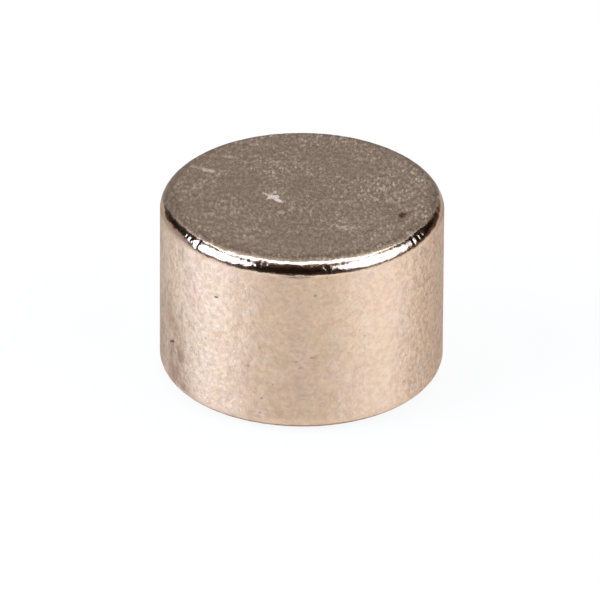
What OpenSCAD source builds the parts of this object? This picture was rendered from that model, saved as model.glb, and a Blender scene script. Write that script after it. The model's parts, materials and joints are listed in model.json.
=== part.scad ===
// Disc magnet: one sintered neodymium cylinder, nickel plated all over, with its rims rounded by tumbling.
// Millimetres, +Z up. It stands on its bottom face, with its axis on the Z axis.

/* [Magnet] */
// Diameter over the plating
magnet_d = 6; // [2:0.1:60]
// Height over the plating
magnet_h = 4; // [1.5:0.1:40]

/* [Tumbled rims] */
// Radius of the rounded rim at the top face
top_rim_r = 0.3; // [0.05:0.05:0.7]
// Radius of the rounded rim at the bottom face
bottom_rim_r = 0.3; // [0.05:0.05:0.7]

/* [Hidden] */
$fn = 96;
magnet_r = magnet_d / 2;
// how far each cutter reaches past the surface it trims
past = 0.5;

// The corner that tumbling takes off: a square on the sharp corner, less the circle that the rim rolls on.
// It sits at the origin with the sharp corner towards +X and +Y.
module corner_waste(r) {
  difference() {
    square([r + past, r + past]);
    circle(r = r);
  }
}

// Half of the magnet's section, from the axis outwards.
module half_section() {
  difference() {
    square([magnet_r, magnet_h]);
    translate([magnet_r - top_rim_r, magnet_h - top_rim_r]) corner_waste(top_rim_r);
    translate([magnet_r - bottom_rim_r, bottom_rim_r]) mirror([0, 1]) corner_waste(bottom_rim_r);
  }
}

module disc_magnet() {
  color([0.78, 0.74, 0.68])
  rotate_extrude() half_section();
}

disc_magnet();
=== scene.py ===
"""A small nickel-plated disc magnet standing on a pale studio floor."""

import json
import math

import bpy
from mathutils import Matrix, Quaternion, Vector


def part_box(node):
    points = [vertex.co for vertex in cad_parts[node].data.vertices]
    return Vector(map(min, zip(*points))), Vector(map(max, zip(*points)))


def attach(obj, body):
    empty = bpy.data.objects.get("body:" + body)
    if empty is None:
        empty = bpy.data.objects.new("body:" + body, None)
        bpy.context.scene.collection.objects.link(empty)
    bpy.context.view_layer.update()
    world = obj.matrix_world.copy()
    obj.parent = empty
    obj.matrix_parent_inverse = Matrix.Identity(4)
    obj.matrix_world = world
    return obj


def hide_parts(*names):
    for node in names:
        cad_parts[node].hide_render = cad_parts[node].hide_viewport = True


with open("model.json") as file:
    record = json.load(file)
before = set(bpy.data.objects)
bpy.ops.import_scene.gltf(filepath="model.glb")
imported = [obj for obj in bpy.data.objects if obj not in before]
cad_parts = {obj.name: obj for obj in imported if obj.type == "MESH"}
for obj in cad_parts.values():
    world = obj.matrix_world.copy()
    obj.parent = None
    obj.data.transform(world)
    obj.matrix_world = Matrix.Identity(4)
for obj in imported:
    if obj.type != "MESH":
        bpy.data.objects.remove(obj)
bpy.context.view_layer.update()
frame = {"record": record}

bl_info = {
    "name": "Disc Magnet",
    "version": (1, 0, 0),
    "blender": (4, 5, 0),
    "location": "3D View > Sidebar > Magnet",
    "description": "Makes a nickel-plated disc magnet with tumbled rims, and a studio to look at it in",
    "category": "Object",
}

MM = 0.001
MICRON = 1e-6
NODE = "disc_magnet"
# how a Map Range node eases in and out
SMOOTH = {"interpolation_type": "SMOOTHSTEP"}


def mount(name):
    """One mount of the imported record."""
    return next(m for m in frame["record"]["mounts"] if m["name"] == name)


BOTTOM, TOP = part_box(NODE)
DIAMETER = TOP.x - BOTTOM.x
HEIGHT = TOP.z - BOTTOM.z
# the wall is what the two rims leave of the height
RIM_RADIUS = (HEIGHT - mount("wall")["dims"]["length_mm"] * MM) / 2


def linear(code):
    """An sRGB hex colour as linear red, green, blue and alpha."""
    values = [int(code[i : i + 2], 16) / 255 for i in (1, 3, 5)]
    return [v / 12.92 if v <= 0.04045 else ((v + 0.055) / 1.055) ** 2.4 for v in values] + [1.0]


def add(tree, kind, *values, sockets=None, **settings):
    """Adds a node to a tree. Values fill its inputs in order, and sockets fills them by name or place. Each
    is a number, a colour, a material, an output socket, or a node, which gives its first output."""
    node = tree.nodes.new(kind)
    for name, value in settings.items():
        setattr(node, name, value)
    for place, value in [*enumerate(values), *(sockets or {}).items()]:
        if isinstance(value, bpy.types.Node):
            value = value.outputs[0]
        if isinstance(value, bpy.types.NodeSocket):
            tree.links.new(value, node.inputs[place])
        else:
            node.inputs[place].default_value = value
    return node


# ---------------------------------------------------------------- sizes and colours a user would change


class MagnetSettings(bpy.types.PropertyGroup):
    """The magnet's sizes, marks, lay and colours."""

    diameter: bpy.props.FloatProperty(
        name="Diameter", description="Over the plating", default=DIAMETER, unit="LENGTH", precision=6
    )
    height: bpy.props.FloatProperty(
        name="Height", description="Over the plating", default=HEIGHT, unit="LENGTH", precision=6
    )
    rim_radius: bpy.props.FloatProperty(
        name="Rim radius",
        description="Radius that tumbling gave both rims",
        default=RIM_RADIUS,
        unit="LENGTH",
        precision=6,
    )
    cap_cells: bpy.props.IntProperty(
        name="Cap cells", description="Mesh cells across a flat face", default=120
    )
    rim_rows: bpy.props.IntProperty(
        name="Rim rows", description="Mesh rows from a flat face round to the wall", default=22
    )
    wall_rows: bpy.props.IntProperty(name="Wall rows", description="Mesh rows up the wall", default=84)
    seed: bpy.props.IntProperty(
        name="Seed", description="Places the small pits of the plating", default=7
    )
    lay: bpy.props.FloatProperty(
        name="Wall's lay",
        description="How much longer a highlight is up the wall than round it, from 0 to 1",
        default=0.82,
    )
    nickel: bpy.props.StringProperty(
        name="Nickel", description="Colour of the plating, as sRGB hex", default="#F4DDC8"
    )
    tarnish: bpy.props.StringProperty(
        name="Tarnish",
        description="Colour where the plating has yellowed, as sRGB hex",
        default="#FADABC",
    )
    # painted shade: darker than nickel, for the dim room and the shadow that the faces and foot reflect
    ground: bpy.props.StringProperty(
        name="Ground faces",
        description="Colour of the dulled faces and foot, as sRGB hex",
        default="#A6907D",
    )
    # brown streaks, and brown painted shade low on the wall's left, up its right end and at the top rim's
    # foot
    stain_and_shade: bpy.props.StringProperty(
        name="Stain", description="Colour of the brown stain and film, as sRGB hex", default="#A98D7A"
    )
    dirt: bpy.props.StringProperty(
        name="Dirt", description="Colour of what sits in the pits, as sRGB hex", default="#54301E"
    )


class StudioSettings(bpy.types.PropertyGroup):
    """The floor, the lights and the camera."""

    floor: bpy.props.StringProperty(
        name="Floor", description="Colour of the floor, as sRGB hex", default="#FAF8F4"
    )
    burn: bpy.props.FloatProperty(
        name="Burnt out", description="How far the floor is burnt out to white, from 0 to 1", default=0.9
    )
    lamp_colour: bpy.props.StringProperty(
        name="Softboxes' colour", description="As sRGB hex", default="#D8E8FF"
    )
    key_radiance: bpy.props.FloatProperty(
        name="Left softbox", description="Brightness, where 1 is white", default=7.1
    )
    fill_radiance: bpy.props.FloatProperty(
        name="Right softbox", description="Brightness, where 1 is white", default=3.3
    )
    top_radiance: bpy.props.FloatProperty(
        name="Overhead strip", description="Brightness, where 1 is white", default=3.4
    )
    batten_radiance: bpy.props.FloatProperty(
        name="Ceiling battens", description="Brightness, where 1 is white", default=2.6
    )
    camera_elevation: bpy.props.FloatProperty(
        name="Camera elevation",
        description="Angle above the floor",
        default=math.radians(29.6),
        subtype="ANGLE",
    )
    camera_roll: bpy.props.FloatProperty(
        name="Camera roll", description="Turn about the line of sight", default=0.0061, subtype="ANGLE"
    )
    camera_distance: bpy.props.FloatProperty(
        name="Camera distance", description="From the magnet's middle", default=0.3, unit="LENGTH"
    )
    frame_width: bpy.props.FloatProperty(
        name="Frame width",
        description="Width of the picture at the magnet",
        default=12.665 * MM,
        unit="LENGTH",
        precision=6,
    )
    frame_drop: bpy.props.FloatProperty(
        name="Frame drop",
        description="How far the picture's middle lies below the magnet's",
        default=0.4443 * MM,
        unit="LENGTH",
        precision=6,
    )
    frame_left: bpy.props.FloatProperty(
        name="Frame left",
        description="How far the picture's middle lies left of the magnet's",
        default=0.033 * MM,
        unit="LENGTH",
        precision=6,
    )


# ---------------------------------------------------------------- the marks that this magnet has picked up

# On the wall: angle round from the front in degrees, height in mm, half length in mm, its slant from level
# in degrees, half width in mm, depth in microns, dirt and scuff from 0 to 1.
WALL_MARKS = [
    (-36.7, 2.91, 0.030, 20, 0.028, 5, 0.88, 0),
    (-65.4, 1.18, 0.090, 27, 0.030, 5, 0.75, 0),
    (5.4, 3.28, 0.010, 60, 0.032, 4, 0.35, 0),
    (-16.9, 1.96, 0.015, -30, 0.030, 4, 0.28, 0),
    (4.7, 1.79, 0.060, 3, 0.016, 3, 0.38, 0),
    (-1.9, 1.70, 0.010, 0, 0.022, 3, 0.28, 0),
    (-0.2, 1.55, 0.050, 0, 0.014, 3, 0.30, 0),
    (-21.8, 1.50, 0.020, 80, 0.045, 4, 0.20, 0),
    (47.4, 1.32, 0.010, 0, 0.028, 4, 0.40, 0),
    (54.4, 1.31, 0.015, 40, 0.028, 4, 0.35, 0),
    (46.2, 0.72, 0.010, 0, 0.025, 4, 0.30, 0),
    (53.1, 0.32, 0.010, 0, 0.025, 4, 0.30, 0),
    (-16.0, 0.75, 0.010, 0, 0.025, 4, 0.30, 0),
    (-11.4, 1.10, 0.010, 90, 0.025, 4, 0.25, 0),
    (0.0, 3.75, 0.020, 0, 0.022, 3, 0.30, 0),
    (10.2, 3.69, 0.010, 0, 0.025, 4, 0.25, 0),
    (24.2, 2.34, 0.010, 0, 0.022, 3, 0.25, 0),
]
# Knocks on the top rim: angle round from the front and angle up round the rim in degrees, then the half
# length and slant, half width, depth, dirt and scuff as above.
RIM_MARKS = [
    (53.4, 48, 0.07, 82, 0.050, 8, 0, 0),
    (57.2, 50, 0.06, 82, 0.050, 9, 0, 0),
    (59.8, 52, 0.05, 82, 0.045, 9, 0, 0),
    (62.2, 54, 0.03, 82, 0.045, 9, 0, 0),
    (-49.1, 46, 0.07, 86, 0.050, 8, 0, 0),
    (-53.8, 50, 0.02, 80, 0.040, 8, 0, 0),
    (-56.4, 50, 0.02, 80, 0.036, 8, 0, 0),
    (-22.0, 60, 0.04, 80, 0.040, 5, 0, 0),
    (-17.4, 54, 0.04, 84, 0.044, 9, 0, 0),
    (-15.2, 54, 0.03, 84, 0.042, 9, 0, 0),
    (-12.0, 50, 0.04, 84, 0.040, 7, 0, 0),
    (4.3, 60, 0.03, 84, 0.042, 9, 0, 0),
    (9.9, 52, 0.04, 80, 0.036, 5, 0, 0),
    (17.0, 60, 0.04, 80, 0.040, 5, 0, 0),
]
# On the top face: place in mm, then the half length, slant, half width, depth, dirt and scuff as above.
TOP_MARKS = [
    (-0.74, 0.07, 0.09, -48, 0.040, 5, 0, 0.60),
    (-0.62, -0.03, 0.07, 0, 0.115, 6, 0, 0.85),
    (-0.50, -0.18, 0.05, -45, 0.070, 6, 0, 0.90),
    (-0.58, 0.16, 0.02, 90, 0.050, 5, 0, 0.45),
    (-2.20, 1.22, 0.15, -22, 0.065, 3, 0, 0.22),
    (-1.98, 1.10, 0.08, -24, 0.095, 4, 0, 0.42),
    (-1.56, 1.70, 0.10, -15, 0.080, 2, 0, 0.20),
    (-1.04, 2.24, 0.05, 0, 0.070, 2, 0, 0.15),
    (2.10, -0.77, 0.05, 75, 0.100, 3, 0.90, 0),
    (2.24, -0.66, 0.03, 30, 0.070, 3, 0.50, 0),
    (2.08, -1.04, 0.02, 0, 0.050, 3, 0.35, 0),
    (2.45, -0.82, 0.02, 60, 0.045, 3, 0.40, 0),
    (1.86, -0.42, 0.04, 20, 0.050, 3, 0.40, 0),
    (1.97, -0.15, 0.02, 0, 0.045, 3, 0.35, 0),
    (1.42, -1.43, 0.03, 10, 0.060, 3, 0.45, 0),
    (0.92, -1.36, 0.12, 0, 0.150, 1, 0, 0.14),
    (-2.25, 0.01, 0.04, -30, 0.050, 4, 0.35, 0),
    (-1.21, 2.24, 0.02, 0, 0.060, 3, 0.40, 0),
]


def mark_points(settings):
    """The marks as loose points, which the tree presses in. Each has its reach, which is half its length
    along the surface, its half width, its depth, its dirt and its scuff."""
    radius, top, rim = settings.diameter / 2, settings.height, settings.rim_radius
    upright = Vector((0, 0, 1))
    # each mark's place, the two ways that span the surface there, and the rest of its row
    spots = []
    for angle, z, *mark in WALL_MARKS:
        turn = math.radians(angle)
        along = Vector((math.cos(turn), math.sin(turn), 0))
        place = Vector((radius * math.sin(turn), -radius * math.cos(turn), z * MM))
        spots.append((place, along, upright, mark))
    for angle, climb, *mark in RIM_MARKS:
        turn, rise = math.radians(angle), math.radians(climb)
        out = Vector((math.sin(turn), -math.cos(turn), 0))
        along = Vector((math.cos(turn), math.sin(turn), 0))
        place = out * (radius - rim) + upright * (top - rim)
        place += (out * math.cos(rise) + upright * math.sin(rise)) * rim
        spots.append((place, along, upright * math.cos(rise) - out * math.sin(rise), mark))
    for x, y, *mark in TOP_MARKS:
        spots.append((Vector((x * MM, y * MM, top)), Vector((1, 0, 0)), Vector((0, 1, 0)), mark))
    mesh = bpy.data.meshes.new("magnet_marks")
    mesh.from_pydata([place for place, *_ in spots], [], [])
    reaches = []
    for _, along, up, (half_length, slant, *_) in spots:
        lean = math.radians(slant)
        reaches.extend((along * math.cos(lean) + up * math.sin(lean)) * half_length * MM)
    reach = mesh.attributes.new("reach", "FLOAT_VECTOR", "POINT")
    reach.data.foreach_set("vector", reaches)
    # a row goes on with these, each in its unit
    units = {"width": MM, "depth": MICRON, "dirt": 1, "scuff": 1}
    for column, (name, unit) in enumerate(units.items(), 2):
        values = mesh.attributes.new(name, "FLOAT", "POINT")
        values.data.foreach_set("value", [mark[column] * unit for *_, mark in spots])
    return mesh


# ---------------------------------------------------------------- the magnet's shape


def magnet_tree():
    """The tree that makes the magnet: a gridded cube drawn round into a rimmed cylinder, then dented and
    pitted inwards, so that it never grows past its size."""
    tree = bpy.data.node_groups.new("Tumbled disc magnet", "GeometryNodeTree")
    face = tree.interface
    face.new_socket("Marks", in_out="INPUT", socket_type="NodeSocketGeometry")
    for name, kind in (
        ("Diameter", "Float"),
        ("Height", "Float"),
        ("Rim radius", "Float"),
        ("Cap cells", "Int"),
        ("Rim rows", "Int"),
        ("Wall rows", "Int"),
        ("Seed", "Int"),
        ("Face finish", "Material"),
        ("Wall finish", "Material"),
    ):
        face.new_socket(name, in_out="INPUT", socket_type="NodeSocket" + kind)
    face.new_socket("Magnet", in_out="OUTPUT", socket_type="NodeSocketGeometry")
    given = tree.nodes.new("NodeGroupInput").outputs

    # A cube of cells, two units across. Its top and bottom become the flat faces, and its sides the rims and
    # the wall.
    two_rims = add(tree, "ShaderNodeMath", given["Rim rows"], 2, operation="MULTIPLY")
    rows = add(tree, "ShaderNodeMath", two_rims, given["Wall rows"], operation="ADD")
    row_points = add(tree, "ShaderNodeMath", rows, 1, operation="ADD")
    cap_points = add(tree, "ShaderNodeMath", given["Cap cells"], 1, operation="ADD")
    cube = add(tree, "GeometryNodeMeshCube", (2, 2, 2), cap_points, cap_points, row_points)
    here = add(tree, "GeometryNodeInputPosition")
    x, y, z = add(tree, "ShaderNodeSeparateXYZ", here).outputs

    # Square rings are drawn round into circles, evenly by angle: the larger of x and y is the ring.
    wide = add(tree, "ShaderNodeMath", x, operation="ABSOLUTE")
    deep = add(tree, "ShaderNodeMath", y, operation="ABSOLUTE")
    ring = add(tree, "ShaderNodeMath", wide, deep, operation="MAXIMUM")
    sideways = add(tree, "FunctionNodeCompare", wide, deep, operation="GREATER_THAN")
    turns = []
    for long, short in ((x, y), (y, x)):
        share = add(tree, "ShaderNodeMath", short, long, operation="DIVIDE")
        angle = add(tree, "ShaderNodeMath", share, math.pi / 4, operation="MULTIPLY")
        sign = add(tree, "ShaderNodeMath", long, operation="SIGN")
        across = add(tree, "ShaderNodeMath", angle, operation="COSINE")
        along = add(tree, "ShaderNodeMath", angle, operation="SINE")
        turns.append(
            [add(tree, "ShaderNodeMath", part, sign, operation="MULTIPLY") for part in (across, along)]
        )
    (x_long, x_short), (y_long, y_short) = turns
    east = add(tree, "ShaderNodeMix", data_type="FLOAT", sockets={0: sideways, 2: y_short, 3: x_long})
    north = add(tree, "ShaderNodeMix", data_type="FLOAT", sockets={0: sideways, 2: y_long, 3: x_short})

    # Rows climb the bottom rim, the wall and the top rim in turn.
    row = add(tree, "ShaderNodeMapRange", z, -1, 1, 0, rows)
    wall_end = add(tree, "ShaderNodeMath", given["Rim rows"], given["Wall rows"], operation="ADD")
    low = add(tree, "ShaderNodeMapRange", row, 0, given["Rim rows"], 0, math.pi / 2)
    climb = add(tree, "ShaderNodeMapRange", row, given["Rim rows"], wall_end, 0, 1)
    high = add(tree, "ShaderNodeMapRange", row, wall_end, rows, 0, math.pi / 2)
    sin_low = add(tree, "ShaderNodeMath", low, operation="SINE")
    cos_low = add(tree, "ShaderNodeMath", low, operation="COSINE")
    sin_high = add(tree, "ShaderNodeMath", high, operation="SINE")
    cos_high = add(tree, "ShaderNodeMath", high, operation="COSINE")
    rim = given["Rim radius"]
    half = add(tree, "ShaderNodeMath", given["Diameter"], 2, operation="DIVIDE")
    # radius = half - rim + rim * (sin_low + cos_high - 1)
    bulge = add(tree, "ShaderNodeMath", sin_low, cos_high, operation="ADD")
    bulge = add(tree, "ShaderNodeMath", bulge, 2, operation="SUBTRACT")
    radius = add(tree, "ShaderNodeMath", rim, bulge, half, operation="MULTIPLY_ADD")
    # height = rim * (1 - cos_low + sin_high) + wall * climb
    rise = add(tree, "ShaderNodeMath", sin_high, cos_low, operation="SUBTRACT")
    rise = add(tree, "ShaderNodeMath", rise, 1, operation="ADD")
    wall = add(tree, "ShaderNodeMath", rim, -2, given["Height"], operation="MULTIPLY_ADD")
    level = add(tree, "ShaderNodeMath", wall, climb, operation="MULTIPLY")
    level = add(tree, "ShaderNodeMath", rim, rise, level, operation="MULTIPLY_ADD")
    reach = add(tree, "ShaderNodeMath", radius, ring, operation="MULTIPLY")
    circle = add(
        tree,
        "ShaderNodeCombineXYZ",
        add(tree, "ShaderNodeMath", east.outputs[0], reach, operation="MULTIPLY"),
        add(tree, "ShaderNodeMath", north.outputs[0], reach, operation="MULTIPLY"),
        level,
    )
    # 1 half way round a rim and 0 on the wall and the flat faces
    on_low = add(tree, "ShaderNodeMath", sin_low, cos_low, operation="MULTIPLY")
    on_high = add(tree, "ShaderNodeMath", sin_high, cos_high, operation="MULTIPLY")
    on_rim = add(tree, "ShaderNodeMath", on_low, on_high, operation="ADD")
    on_rim = add(tree, "ShaderNodeMath", on_rim, ring, operation="MULTIPLY")
    on_rim = add(tree, "ShaderNodeMath", on_rim, 2, operation="MULTIPLY")
    # 1 on the flat faces, falling to 0 round the rims
    lie = add(tree, "ShaderNodeMath", cos_low, sin_high, operation="MAXIMUM")
    kept = add(tree, "GeometryNodeCaptureAttribute", cube)
    for name, value in (("Rim", on_rim), ("Lie", lie)):
        kept.capture_items.new("FLOAT", name)
        tree.links.new(value.outputs[0], kept.inputs[name])
    smooth = add(tree, "GeometryNodeSetPosition", kept, sockets={"Position": circle})

    # Small pits are scattered over it, one to every two square millimetres, and join the marks that it is
    # given.
    cloud = add(
        tree,
        "GeometryNodeDistributePointsOnFaces",
        smooth,
        sockets={"Density": 0.5 / (MM * MM), "Seed": given["Seed"]},
    )
    for name, low_end, high_end in (
        ("width", 0.014 * MM, 0.030 * MM),
        ("depth", 0.5 * MICRON, 1.5 * MICRON),
        ("dirt", 0.1, 0.45),
    ):
        chance = add(
            tree,
            "FunctionNodeRandomValue",
            data_type="FLOAT",
            sockets={2: low_end, 3: high_end, "Seed": given["Seed"]},
        )
        cloud = add(
            tree,
            "GeometryNodeStoreNamedAttribute",
            cloud,
            data_type="FLOAT",
            domain="POINT",
            sockets={"Name": name, "Value": chance.outputs[1]},
        )
    own = add(tree, "GeometryNodeMeshToPoints", given["Marks"])
    marks = add(tree, "GeometryNodeJoinGeometry", cloud)
    tree.links.new(own.outputs[0], marks.inputs[0])

    # The nearest mark to each point of the magnet, and how far off it is in widths of that mark.
    nearest = add(
        tree, "GeometryNodeSampleNearest", marks, domain="POINT", sockets={"Sample Position": here}
    )

    def of_nearest(name, kind):
        """What the nearest mark says under a name."""
        value = here
        if name != "position":
            value = add(tree, "GeometryNodeInputNamedAttribute", name, data_type=kind)
        sampling = {"data_type": kind, "domain": "POINT", "clamp": True}
        return add(tree, "GeometryNodeSampleIndex", marks, value, nearest, **sampling)

    centre = of_nearest("position", "FLOAT_VECTOR")
    arm = of_nearest("reach", "FLOAT_VECTOR")
    width = of_nearest("width", "FLOAT")
    gap = add(tree, "ShaderNodeVectorMath", here, centre, operation="SUBTRACT")
    shadow = add(tree, "ShaderNodeVectorMath", gap, arm, operation="DOT_PRODUCT").outputs["Value"]
    arm_square = add(tree, "ShaderNodeVectorMath", arm, arm, operation="DOT_PRODUCT").outputs["Value"]
    share = add(tree, "ShaderNodeMath", shadow, arm_square, operation="DIVIDE")
    share = add(tree, "ShaderNodeClamp", share, -1, 1)
    foot = add(tree, "ShaderNodeVectorMath", arm, operation="SCALE", sockets={"Scale": share})
    off = add(tree, "ShaderNodeVectorMath", gap, foot, operation="SUBTRACT")
    in_widths = add(tree, "ShaderNodeMath", 1, width, operation="DIVIDE")
    offset = add(tree, "ShaderNodeVectorMath", off, operation="SCALE", sockets={"Scale": in_widths})
    distance = add(tree, "ShaderNodeVectorMath", offset, operation="LENGTH").outputs["Value"]
    pressed = add(tree, "ShaderNodeMapRange", distance, 0.25, 1.15, 1, 0, **SMOOTH)
    pit_depth = add(tree, "ShaderNodeMath", of_nearest("depth", "FLOAT"), pressed, operation="MULTIPLY")

    # Tumbling leaves a slight swell all over, 0.42 mm from crest to crest and up to 7 microns deep, and
    # knocks 0.17 mm across, up to 13 microns deep on the rims and 1.2 elsewhere.
    swell = add(
        tree,
        "ShaderNodeTexNoise",
        sockets={"Vector": here, "Scale": 1 / (0.42 * MM), "Detail": 2.0, "Roughness": 0.55},
    )
    knocks = add(
        tree,
        "ShaderNodeTexNoise",
        sockets={"Vector": here, "Scale": 1 / (0.17 * MM), "Detail": 1.0, "Roughness": 0.5},
    )
    knock_scale = add(tree, "ShaderNodeMapRange", kept.outputs["Rim"], 0, 1, 1.2 * MICRON, 13 * MICRON)
    depth = add(tree, "ShaderNodeMath", knocks, knock_scale, pit_depth, operation="MULTIPLY_ADD")
    depth = add(tree, "ShaderNodeMath", swell, 7 * MICRON, depth, operation="MULTIPLY_ADD")
    inwards = add(tree, "ShaderNodeMath", depth, -1, operation="MULTIPLY")
    normal = add(tree, "GeometryNodeInputNormal")
    push = add(tree, "ShaderNodeVectorMath", normal, operation="SCALE", sockets={"Scale": inwards})

    # What the finish reads: how far off the nearest mark is, and what that mark left there.
    told = smooth
    for name, kind, value in (
        ("mark_offset", "FLOAT_VECTOR", offset),
        ("mark_dirt", "FLOAT", of_nearest("dirt", "FLOAT")),
        ("mark_scuff", "FLOAT", of_nearest("scuff", "FLOAT")),
    ):
        told = add(
            tree,
            "GeometryNodeStoreNamedAttribute",
            told,
            data_type=kind,
            domain="POINT",
            sockets={"Name": name, "Value": value},
        )
    dented = add(tree, "GeometryNodeSetPosition", told, sockets={"Offset": push})
    shaded = add(tree, "GeometryNodeSetShadeSmooth", dented)
    real = add(tree, "GeometryNodeRealizeInstances", shaded)
    walled = add(tree, "GeometryNodeSetMaterial", real, sockets={"Material": given["Wall finish"]})
    # the faces' finish is laid past this lie, so it reaches further over the rim at the sides and back
    spot = add(tree, "ShaderNodeSeparateXYZ", here).outputs["Y"]
    border = add(tree, "ShaderNodeMapRange", spot, -1.5 * MM, 0.2 * MM, 0.91, 0.42, **SMOOTH)
    flat = add(tree, "FunctionNodeCompare", kept.outputs["Lie"], border, operation="GREATER_THAN")
    done = add(
        tree,
        "GeometryNodeSetMaterial",
        walled,
        sockets={"Selection": flat, "Material": given["Face finish"]},
    )
    end = tree.nodes.new("NodeGroupOutput")
    tree.links.new(done.outputs[0], end.inputs[0])
    return tree


def set_inputs(modifier, values):
    """Sets a tree's inputs by their names, through the identifiers that the modifier knows them by."""
    for item in modifier.node_group.interface.items_tree:
        if item.in_out == "INPUT" and item.name in values:
            modifier[item.identifier] = values[item.name]


# ---------------------------------------------------------------- the magnet's finish


# The plating's other colours: the streaks that rinsing left, the painted shade in the hollows of the
# grain, the painted glints on the tips of the grit, and the bare plate of a scuff.
STREAK = "#F0D3C4"
HOLLOW_SHADE = "#DBD6D1"
GLINT_PAINT = "#F7E3CE"
BARE = "#EDDBCA"
# what tints nickel's reflection at a grazing angle
EDGE_TINT = "#D1CECB"
# the roughness of a tumbled rim
BURNISHED = 0.14
# the lies at which the wall's finish starts to give way to the rim's, and has given way
WALL_END = (0.05, 0.26)


def nickel_plate(name, lay, settings):
    """Bright nickel electroplated over a sintered blank that was ground and then tumbled to round its rims.
    The plate copies what is under it: a fine grit on the flat faces, a burnished and dented rim, and round
    the wall the lay of a centreless grinder, which draws the lamps up into bands. Nickel gives the eye a
    warm grey metal, yellower than steel. The lay, from 0 to 1, is how much longer a highlight is up the
    wall than round it."""
    material = bpy.data.materials.new(name)
    material.use_nodes = True
    tree = material.node_tree
    tree.nodes.clear()
    coordinates = add(tree, "ShaderNodeTexCoord").outputs
    # patterns are in millimetres, so a pattern's scale is how many grains there are to one
    mm = add(tree, "ShaderNodeMapping", coordinates["Object"], sockets={"Scale": (1 / MM, 1 / MM, 1 / MM)})
    x, y, z = add(tree, "ShaderNodeSeparateXYZ", mm).outputs
    # how far out to either side
    sides = add(tree, "ShaderNodeMath", x, operation="ABSOLUTE")

    # Where on the magnet: on_face is 1 on the flat faces, on_wall is 1 on the wall, and the rim is what is
    # left. The grinder's finish of the wall runs further round the bottom rim than the top. The lie is 1
    # facing up and 0 on the wall.
    lie = add(tree, "ShaderNodeSeparateXYZ", coordinates["Normal"]).outputs["Z"]
    ragged = add(tree, "ShaderNodeTexNoise", sockets={"Vector": mm, "Scale": 24, "Detail": 2.0})
    # both finishes reach further over the top rim at the sides and back, on the right later than the left,
    # and the faces' painted shade goes with them
    right_later = add(tree, "ShaderNodeMapRange", x, 1.5, 2.5, 0, 0.7)
    forward = add(tree, "ShaderNodeMath", y, right_later, operation="SUBTRACT")
    over = add(tree, "ShaderNodeMapRange", forward, -1.1, 0.5, 0, 1, **SMOOTH)
    edge = add(tree, "ShaderNodeMath", lie, operation="ABSOLUTE")
    for part, share in ((ragged, 0.08), (over, 0.49), (right_later, 0.06)):
        edge = add(tree, "ShaderNodeMath", part, share, edge, operation="MULTIPLY_ADD")
    edge_end = add(tree, "ShaderNodeMapRange", over, 0, 1, 1.005, 1.085)
    on_face = add(tree, "ShaderNodeMapRange", edge, 0.965, edge_end, 0, 1, **SMOOTH)
    wall_over = add(tree, "ShaderNodeMapRange", forward, -2.3, -1.1, 0, 0.30)
    above = add(tree, "ShaderNodeMath", lie, wall_over, operation="SUBTRACT")
    above = add(tree, "ShaderNodeMapRange", above, *WALL_END, 1, 0, **SMOOTH)
    below = add(tree, "ShaderNodeMapRange", lie, -0.80, -0.50, 0, 1, **SMOOTH)
    on_wall = add(tree, "ShaderNodeMath", above, below, operation="MULTIPLY")
    # the faces, and the edge that the magnet stands on, are coloured far darker than nickel: painted shade,
    # for the dim room that the faces reflect and for the shadow under the foot
    foot = add(tree, "ShaderNodeMapRange", lie, -0.68, -0.50, 1, 0, **SMOOTH)
    painted_dark = add(tree, "ShaderNodeMath", on_face, foot, operation="MAXIMUM")

    # Grit of the ground faces, about 70 microns across and twice as long along the grinder's travel.
    travel = add(tree, "ShaderNodeMapping", mm, sockets={"Scale": (1, 0.5, 1)})
    grit = add(
        tree,
        "ShaderNodeTexNoise",
        sockets={"Vector": travel, "Scale": 14, "Detail": 3.0, "Roughness": 0.7},
    )
    # Mottling of the wall, about 120 microns, a slow waviness under it, and dents of 100 microns all over.
    mottle = add(
        tree,
        "ShaderNodeTexNoise",
        sockets={"Vector": mm, "Scale": 8, "Detail": 3.0, "Roughness": 0.65, "Distortion": 0.3},
    )
    waves = add(tree, "ShaderNodeTexNoise", sockets={"Vector": mm, "Scale": 2.2, "Detail": 1.0})
    dents = add(
        tree, "ShaderNodeTexNoise", sockets={"Vector": mm, "Scale": 10, "Detail": 3.0, "Roughness": 0.6}
    )
    # heights in microns, each about its own middle, so that they fade out without a step
    grit_height = add(tree, "ShaderNodeMapRange", grit, 0, 1, -7, 7)
    mottle_height = add(tree, "ShaderNodeMapRange", mottle, 0, 1, -7.5, 7.5)
    wave_height = add(tree, "ShaderNodeMapRange", waves, 0, 1, -18, 18)
    dent_height = add(tree, "ShaderNodeMapRange", dents, 0, 1, -2.5, 2.5)
    # the mottling is stronger on the left of the wall and at its far right
    left_more = add(tree, "ShaderNodeMapRange", x, -2.2, -0.8, 1.7, 1.0)
    right_more = add(tree, "ShaderNodeMapRange", x, 1.8, 2.5, 1.0, 2.1)
    strength = add(tree, "ShaderNodeMath", left_more, right_more, operation="MULTIPLY")
    level_wall = add(tree, "ShaderNodeMapRange", lie, *WALL_END, 1, 0, **SMOOTH)
    grit_height = add(tree, "ShaderNodeMath", grit_height, on_face, operation="MULTIPLY")
    height = add(tree, "ShaderNodeMath", mottle_height, strength, wave_height, operation="MULTIPLY_ADD")
    height = add(tree, "ShaderNodeMath", height, on_wall, operation="MULTIPLY")
    height = add(tree, "ShaderNodeMath", height, level_wall, grit_height, operation="MULTIPLY_ADD")
    height = add(tree, "ShaderNodeMath", height, dent_height, operation="ADD")
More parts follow.
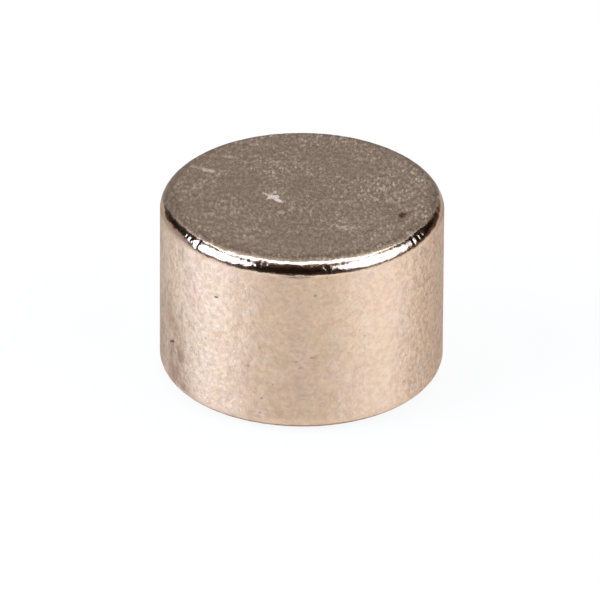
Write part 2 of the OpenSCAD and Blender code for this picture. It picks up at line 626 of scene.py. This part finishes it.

    # Glints: the tips of the grit that tumbling has scuffed, thicker in some places than others. The tips
    # are rougher, and further down they are made lighter in colour, which is a painted glint.
    flecks = add(tree, "ShaderNodeTexVoronoi", sockets={"Vector": travel, "Scale": 15}).outputs
    chance = add(tree, "ShaderNodeSeparateColor", flecks["Color"])
    chance = add(tree, "ShaderNodeMapRange", chance, 0.3, 1.0, 0, 1.1)
    fleck = add(tree, "ShaderNodeMapRange", flecks["Distance"], 0.25, 0.65, 1, 0)
    tips = add(
        tree,
        "ShaderNodeTexNoise",
        sockets={"Vector": travel, "Scale": 14, "Detail": 1.0, "Roughness": 0.6, "Distortion": 0.2},
    )
    tips = add(tree, "ShaderNodeMapRange", tips, 0.45, 0.75, 0, 0.7)
    glint = add(tree, "ShaderNodeMath", fleck, chance, tips, operation="MULTIPLY_ADD")
    crowd = add(tree, "ShaderNodeTexNoise", sockets={"Vector": mm, "Scale": 1.3, "Detail": 2.0})
    crowd = add(tree, "ShaderNodeMapRange", crowd, 0.40, 0.62, 0.4, 1)
    crowd_right = add(tree, "ShaderNodeMapRange", x, 0.4, 1.6, 0.85, 1.05)
    for part in (crowd, crowd_right, on_face):
        glint = add(tree, "ShaderNodeMath", glint, part, operation="MULTIPLY")

    # Marks: dirt in the pits, and bare roughened plate on the scuffs, with ragged edges.
    offset = add(tree, "ShaderNodeAttribute", attribute_name="mark_offset").outputs["Vector"]
    gap = add(tree, "ShaderNodeVectorMath", offset, operation="LENGTH").outputs["Value"]
    gap = add(tree, "ShaderNodeMath", ragged, gap, operation="ADD")
    near = add(tree, "ShaderNodeMapRange", gap, 0.85, 1.6, 1, 0, **SMOOTH)
    dirt, scuff = (
        add(
            tree,
            "ShaderNodeMath",
            near,
            add(tree, "ShaderNodeAttribute", attribute_name=label).outputs["Fac"],
            operation="MULTIPLY",
        )
        for label in ("mark_dirt", "mark_scuff")
    )

    # Colour: from the left of the magnet towards the right the nickel colour turns to the tarnish colour, in
    # soft blotches.
    blotch = add(
        tree, "ShaderNodeTexNoise", sockets={"Vector": mm, "Scale": 2.6, "Detail": 4.0, "Roughness": 0.65}
    )
    yellowed = add(tree, "ShaderNodeMapRange", x, -2.4, -0.6, 0.0, 0.95)
    spread = add(tree, "ShaderNodeMapRange", blotch, 0.3, 0.7, -0.5, 0.5, clamp=False)
    yellowed = add(tree, "ShaderNodeMath", yellowed, spread, operation="ADD", use_clamp=True)
    # soft pinker streaks up the wall, where rinse water dried
    upright = add(tree, "ShaderNodeMapping", mm, sockets={"Scale": (1, 1, 0.27)})
    streaks = add(
        tree,
        "ShaderNodeTexNoise",
        sockets={"Vector": upright, "Scale": 2.2, "Detail": 4.0, "Roughness": 0.65},
    )
    pinker = add(tree, "ShaderNodeMapRange", streaks, 0.42, 0.66, 0.0, 0.35)
    # painted shade darkens the hollows of the grain, less towards the front of the top face, and more
    # where the wall's mottling is stronger
    grain = add(tree, "ShaderNodeMix", data_type="FLOAT", sockets={0: on_wall, 2: grit, 3: mottle})
    wall_shade = add(tree, "ShaderNodeMath", strength, 0.48, operation="MULTIPLY")
    face_shade = add(tree, "ShaderNodeMapRange", y, -2.2, -0.8, 0.45, 0.63)
    deepest_shade = add(tree, "ShaderNodeMapRange", on_wall, 0, 1, face_shade, wall_shade)
    hollow_shade = add(tree, "ShaderNodeMapRange", grain, 0.34, 0.60, deepest_shade, 0.0)
    # and painted shade darkens a margin along the front of the top face, which lies further out at the
    # magnet's sides
    level = add(tree, "ShaderNodeMapping", mm, sockets={"Scale": (1, 1, 0)})
    out = add(tree, "ShaderNodeVectorMath", level, operation="LENGTH").outputs["Value"]
    out = add(tree, "ShaderNodeMath", sides, -0.06, out, operation="MULTIPLY_ADD")
    margin_shade = add(tree, "ShaderNodeMapRange", y, -0.3, 0.6, 0.8, 0)
    for along, *reach in ((out, 2.40, 2.56, 0, 1), (out, 2.58, 2.66, 1, 0), (lie, 0, 0.5, 0, 1)):
        reach = add(tree, "ShaderNodeMapRange", along, *reach)
        margin_shade = add(tree, "ShaderNodeMath", margin_shade, reach, operation="MULTIPLY")
    hollow_shade = add(tree, "ShaderNodeMath", hollow_shade, margin_shade, operation="ADD")
    # painted shade, brown, low on the left of the wall, which spreads further round it lower down, for the
    # shadowed floor that the wall reflects there
    spreads = add(tree, "ShaderNodeMath", z, 0.2, x, operation="MULTIPLY_ADD")
    left = add(tree, "ShaderNodeMapRange", spreads, -2.42, -2.08, 1.0, 0.1, **SMOOTH)
    far_left = add(tree, "ShaderNodeMapRange", x, -2.85, -2.62, 0.45, 1.0)
    down = add(tree, "ShaderNodeMapRange", z, 1.0, 3.6, 1, 0, **SMOOTH)
    stain_and_shade = add(tree, "ShaderNodeMapRange", blotch, 0.34, 0.60, 0.15, 1)
    for part in (left, far_left, down):
        stain_and_shade = add(tree, "ShaderNodeMath", stain_and_shade, part, operation="MULTIPLY")
    # faint brown streaks up the left of the wall, and faint painted shade all the way up its right end
    runs = add(tree, "ShaderNodeMapRange", streaks, 0.32, 0.46, 0.5, 0)
    runs_end = add(tree, "ShaderNodeMapRange", x, -2.45, -2.25, 1, 0)
    runs = add(tree, "ShaderNodeMath", runs, runs_end, operation="MULTIPLY")
    stain_and_shade = add(tree, "ShaderNodeMath", stain_and_shade, runs, operation="MAXIMUM")
    right = add(tree, "ShaderNodeMapRange", x, 2.25, 2.5, 0, 0.08)
    stain_and_shade = add(tree, "ShaderNodeMath", stain_and_shade, right, operation="ADD")
    stain_and_shade = add(tree, "ShaderNodeMath", stain_and_shade, on_wall, operation="MULTIPLY")
    # painted shade, brown, along the foot of the top rim, thicker towards the sides
    painted_rim_shade = add(tree, "ShaderNodeMapRange", sides, 0.8, 2.6, 0.1, 0.75)
    for reach in ((0.12, 0.45, 0, 1), (0.70, 0.85, 1, 0)):
        reach = add(tree, "ShaderNodeMapRange", lie, *reach)
        painted_rim_shade = add(tree, "ShaderNodeMath", painted_rim_shade, reach, operation="MULTIPLY")
    stain_and_shade = add(tree, "ShaderNodeMath", stain_and_shade, painted_rim_shade, operation="MAXIMUM")
    # painted glint: the grit's tips are made lighter, for the lamps' sparkle on them
    painted_glint = add(tree, "ShaderNodeMath", glint, 0.35, operation="MULTIPLY")
    colour = linear(settings.nickel)
    for share, laid, tone in (
        (yellowed, "MIX", settings.tarnish),
        (pinker, "MIX", STREAK),
        # painted shade on the faces and foot
        (painted_dark, "MIX", settings.ground),
        # painted shade in the grain's hollows and along the front of the top face
        (hollow_shade, "MULTIPLY", HOLLOW_SHADE),
        # brown streaks, and brown painted shade
        (stain_and_shade, "MIX", settings.stain_and_shade),
        (painted_glint, "MIX", GLINT_PAINT),
        (scuff, "MIX", BARE),
        (dirt, "MIX", settings.dirt),
    ):
        colour = add(
            tree,
            "ShaderNodeMix",
            data_type="RGBA",
            blend_type=laid,
            sockets={0: share, 6: colour, 7: linear(tone)},
        ).outputs[2]

    # Roughness: satin faces and wall, a burnished rim, rough marks.
    rough = BURNISHED
    for share, value in ((on_face, 0.42), (on_wall, 0.44), (glint, 0.62), (scuff, 0.85), (dirt, 0.7)):
        rough = add(tree, "ShaderNodeMapRange", share, 0, 1, rough, value)

    bump = add(tree, "ShaderNodeBump", sockets={"Strength": 1.0, "Distance": MICRON, "Height": height})
    # the lay runs round the magnet, so highlights are drawn out across it, which is a quarter turn
    round_it = add(tree, "ShaderNodeTangent", direction_type="RADIAL", axis="Z")
    shader = add(
        tree,
        "ShaderNodeBsdfPrincipled",
        sockets={
            "Base Color": colour,
            "Metallic": 1.0,
            "Roughness": rough,
            "Specular Tint": linear(EDGE_TINT),
            "Anisotropic": lay,
            "Anisotropic Rotation": 0.25,
            "Tangent": round_it,
            "Normal": bump,
        },
    )
    add(tree, "ShaderNodeOutputMaterial", shader)
    return material


# ---------------------------------------------------------------- the studio


def floor_finish(settings):
    """Matt white card: pale and without gloss. To the eye, and in the magnet's reflections, it is nearly
    burnt out to white, as a well-lit card is, and keeps a faint soft shadow."""
    material = bpy.data.materials.new("matt_white_card")
    material.use_nodes = True
    tree = material.node_tree
    tree.nodes.clear()
    card = add(
        tree,
        "ShaderNodeBsdfPrincipled",
        sockets={"Base Color": linear(settings.floor), "Roughness": 0.9, "Specular IOR Level": 0.2},
    )
    white = add(tree, "ShaderNodeEmission", (1, 1, 1, 1), 1.0)
    rays = add(tree, "ShaderNodeLightPath").outputs
    seen = add(tree, "ShaderNodeMath", rays["Is Camera Ray"], rays["Is Glossy Ray"], operation="MAXIMUM")
    seen = add(tree, "ShaderNodeMath", seen, rays["Is Transmission Ray"], operation="MAXIMUM")
    share = add(tree, "ShaderNodeMath", seen, settings.burn, operation="MULTIPLY")
    shader = add(tree, "ShaderNodeMixShader", share, card, white)
    add(tree, "ShaderNodeOutputMaterial", shader)
    return material


# The softboxes stand this far from the magnet, in metres.
LAMP_DISTANCE = 1.0
# Each one's shape, azimuth from the camera's side, positive to the right, and elevation in degrees, its
# width and height in metres, and the setting that holds its brightness.
SOFTBOXES = {
    "left_softbox": ("ELLIPSE", -79, 37.5, 0.86, 0.76, "key_radiance"),
    "right_softbox": ("ELLIPSE", 70, 38.5, 1.18, 0.99, "fill_radiance"),
    "overhead_strip": ("RECTANGLE", 180, 79, 0.9, 0.3, "top_radiance"),
}


def softbox(name, shape, azimuth, elevation, width, height, radiance, colour):
    """A soft lamp that faces the magnet."""
    turn, lift = math.radians(azimuth), math.radians(elevation)
    away = Vector((math.sin(turn) * math.cos(lift), -math.cos(turn) * math.cos(lift), math.sin(lift)))
    lamp = bpy.data.lights.new(name, "AREA")
    lamp.shape = shape
    lamp.size = width
    lamp.size_y = height
    lamp.color = linear(colour)[:3]
    # a lamp's power spreads over pi times its area
    area = width * height * (math.pi / 4 if shape == "ELLIPSE" else 1)
    lamp.energy = radiance * math.pi * area
    holder = bpy.data.objects.new(name, lamp)
    holder.location = away * LAMP_DISTANCE
    holder.rotation_euler = away.to_track_quat("Z", "Y").to_euler()
    bpy.context.scene.collection.objects.link(holder)


def studio_world(settings):
    """The dim room round the softboxes: nearly black on the camera's side, with upright things standing
    about in it, at the back a grey wall that brightens to the ceiling, two bright battens along the ceiling,
    a pale reflector low down on the left, and pale under the floor's edge."""
    world = bpy.data.worlds.new("dim_studio")
    bpy.context.scene.world = world
    world.use_nodes = True
    tree = world.node_tree
    tree.nodes.clear()
    way = add(tree, "ShaderNodeTexCoord").outputs["Generated"]
    right, back, height = add(tree, "ShaderNodeSeparateXYZ", way).outputs
    # the upright things are lighter where they reach up into the light
    upright = add(tree, "ShaderNodeVectorMath", way, (1, 1, 0.3), operation="MULTIPLY")
    clutter = add(tree, "ShaderNodeTexNoise", sockets={"Vector": upright, "Scale": 9.0, "Detail": 2.0})
    clutter = add(tree, "ShaderNodeMapRange", clutter, 0.4, 0.65, 0, 1)
    lit = add(tree, "ShaderNodeMapRange", height, 0.75, 0.95, 0.15, 1)
    clutter = add(tree, "ShaderNodeMath", clutter, lit, operation="MULTIPLY")
    # the wall at the back stands whole within 23 degrees of straight behind, and is gone past 40
    level = add(tree, "ShaderNodeVectorMath", way, (1, 1, 0), operation="MULTIPLY")
    level = add(tree, "ShaderNodeVectorMath", level, operation="NORMALIZE")
    level_right, level_back = add(tree, "ShaderNodeSeparateXYZ", level).outputs[:2]
    behind = add(tree, "ShaderNodeMapRange", level_back, 0.76, 0.92, 0, 1, **SMOOTH)
    lift = add(tree, "ShaderNodeMath", height, 3.0, operation="POWER", use_clamp=True)
    wall = add(tree, "ShaderNodeMath", lift, 1.25, 0.33, operation="MULTIPLY_ADD")
    # the back half of the room is lighter low down
    to_back = add(tree, "ShaderNodeMapRange", level_back, -0.1, 0.35, 0, 1, **SMOOTH)
    low_down = add(tree, "ShaderNodeMapRange", height, 0.10, 0.35, 1, 0, **SMOOTH)
    low_down = add(tree, "ShaderNodeMath", low_down, to_back, operation="MULTIPLY")
    # pale below the top of the reflector, which stands up to 19 degrees, and below the floor's edge
    reflector_top = add(tree, "ShaderNodeMapRange", level_right, -0.89, -0.72, 0.33, 0.0)
    reflector_top = add(tree, "ShaderNodeMath", reflector_top, to_back, operation="MULTIPLY")
    above = add(tree, "ShaderNodeMath", height, reflector_top, operation="SUBTRACT")
    pale = add(tree, "ShaderNodeMapRange", above, -0.02, 0.02, 1, 0)
    # the battens run backwards, one each side of the overhead strip
    aside = add(tree, "ShaderNodeMath", right, operation="ABSOLUTE")
    batten = add(tree, "ShaderNodeMapRange", height, 0.60, 0.62, 0, 1)
    borders = ((aside, 0.33, 0.35), (aside, 0.43, 0.41), (back, 0.16, 0.20), (back, 0.55, 0.51))
    for source, *border in borders:
        inside = add(tree, "ShaderNodeMapRange", source, *border, 0, 1)
        batten = add(tree, "ShaderNodeMath", batten, inside, operation="MULTIPLY")
    # the nearly black side, and what covers it in turn
    colour = linear("#0A0503")
    for share, tone in (
        (clutter, linear("#6C5242")),
        (low_down, linear("#6C5D52")),
        (behind, wall),
        (pale, linear("#D4D1CE")),
        (batten, [settings.batten_radiance] * 3 + [1.0]),
    ):
        sockets = {0: share, 6: colour, 7: tone}
        colour = add(tree, "ShaderNodeMix", data_type="RGBA", sockets=sockets).outputs[2]
    shade = add(tree, "ShaderNodeBackground", colour, 1.0)
    add(tree, "ShaderNodeOutputWorld", shade)


# The width of the camera's sensor in millimetres.
SENSOR = 36


def aim_camera(settings):
    """A long lens that looks down at the magnet, which stands a little above the middle of the picture."""
    camera = bpy.data.cameras.new("camera")
    camera.sensor_width = SENSOR
    camera.lens = SENSOR * settings.camera_distance / settings.frame_width
    camera.clip_start = 0.01
    camera.clip_end = 10
    holder = bpy.data.objects.new("camera", camera)
    tilt = settings.camera_elevation
    back = Vector((0, -math.cos(tilt), math.sin(tilt)))
    up = Vector((0, math.sin(tilt), math.cos(tilt)))
    aim = Vector((-settings.frame_left, 0, HEIGHT / 2)) - up * settings.frame_drop
    holder.location = aim + back * settings.camera_distance
    turn = Quaternion((0, 0, 1), settings.camera_roll)
    holder.rotation_euler = (back.to_track_quat("Z", "Y") @ turn).to_euler()
    bpy.context.scene.collection.objects.link(holder)
    bpy.context.scene.camera = holder


# ---------------------------------------------------------------- operators and panel


class OBJECT_OT_make_disc_magnet(bpy.types.Operator):
    """Make the magnet and give it its nickel finish"""

    bl_idname = "object.make_disc_magnet"
    bl_label = "Make Magnet"

    def execute(self, context):
        settings = context.scene.magnet
        source = bpy.data.objects.new("magnet_marks", mark_points(settings))
        context.scene.collection.objects.link(source)
        modifier = source.modifiers.new("Tumbled disc magnet", "NODES")
        modifier.node_group = magnet_tree()
        set_inputs(
            modifier,
            {
                "Diameter": settings.diameter,
                "Height": settings.height,
                "Rim radius": settings.rim_radius,
                "Cap cells": settings.cap_cells,
                "Rim rows": settings.rim_rows,
                "Wall rows": settings.wall_rows,
                "Seed": settings.seed,
                "Face finish": nickel_plate("surface_ground_nickel_plate", 0.0, settings),
                "Wall finish": nickel_plate("centreless_ground_nickel_plate", settings.lay, settings),
            },
        )
        depsgraph = context.evaluated_depsgraph_get()
        mesh = bpy.data.meshes.new_from_object(source.evaluated_get(depsgraph), depsgraph=depsgraph)
        mesh.name = "nickel_plated_magnet"
        bpy.data.objects.remove(source)
        if len(mesh.polygons) == 0:
            raise RuntimeError("the magnet's tree made no faces")
        magnet = bpy.data.objects.new("nickel_plated_magnet", mesh)
        context.scene.collection.objects.link(magnet)
        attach(magnet, "root")
        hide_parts(NODE)
        return {"FINISHED"}


class OBJECT_OT_make_magnet_studio(bpy.types.Operator):
    """Make the floor, the lights, the dim room and the camera"""

    bl_idname = "object.make_magnet_studio"
    bl_label = "Make Studio"

    def execute(self, context):
        settings = context.scene.magnet_studio
        # the floor is 6 m square
        corners = [(x * 3.0, y * 3.0, 0) for x, y in ((-1, -1), (1, -1), (1, 1), (-1, 1))]
        mesh = bpy.data.meshes.new("floor")
        mesh.from_pydata(corners, [], [(0, 1, 2, 3)])
        mesh.materials.append(floor_finish(settings))
        floor = bpy.data.objects.new("floor", mesh)
        context.scene.collection.objects.link(floor)
        for name, (*shape_and_place, brightness) in SOFTBOXES.items():
            softbox(name, *shape_and_place, getattr(settings, brightness), settings.lamp_colour)
        studio_world(settings)
        aim_camera(settings)
        context.scene.view_settings.view_transform = "Standard"
        return {"FINISHED"}


class VIEW3D_PT_disc_magnet(bpy.types.Panel):
    """The magnet's settings and the two things that can be made"""

    bl_idname = "VIEW3D_PT_disc_magnet"
    bl_label = "Disc Magnet"
    bl_space_type = "VIEW_3D"
    bl_region_type = "UI"
    bl_category = "Magnet"

    def draw(self, context):
        for settings, operator in (
            (context.scene.magnet, OBJECT_OT_make_disc_magnet),
            (context.scene.magnet_studio, OBJECT_OT_make_magnet_studio),
        ):
            box = self.layout.box()
            for name in settings.bl_rna.properties.keys():
                if name not in ("rna_type", "name"):
                    box.prop(settings, name)
            box.operator(operator.bl_idname)


CLASSES = (
    MagnetSettings,
    StudioSettings,
    OBJECT_OT_make_disc_magnet,
    OBJECT_OT_make_magnet_studio,
    VIEW3D_PT_disc_magnet,
)


def register():
    for each in CLASSES:
        bpy.utils.register_class(each)
    bpy.types.Scene.magnet = bpy.props.PointerProperty(type=MagnetSettings)
    bpy.types.Scene.magnet_studio = bpy.props.PointerProperty(type=StudioSettings)


def unregister():
    del bpy.types.Scene.magnet_studio
    del bpy.types.Scene.magnet
    for each in reversed(CLASSES):
        bpy.utils.unregister_class(each)


def main():
    register()
    bpy.ops.object.make_disc_magnet()
    bpy.ops.object.make_magnet_studio()


if __name__ == "__main__":
    main()
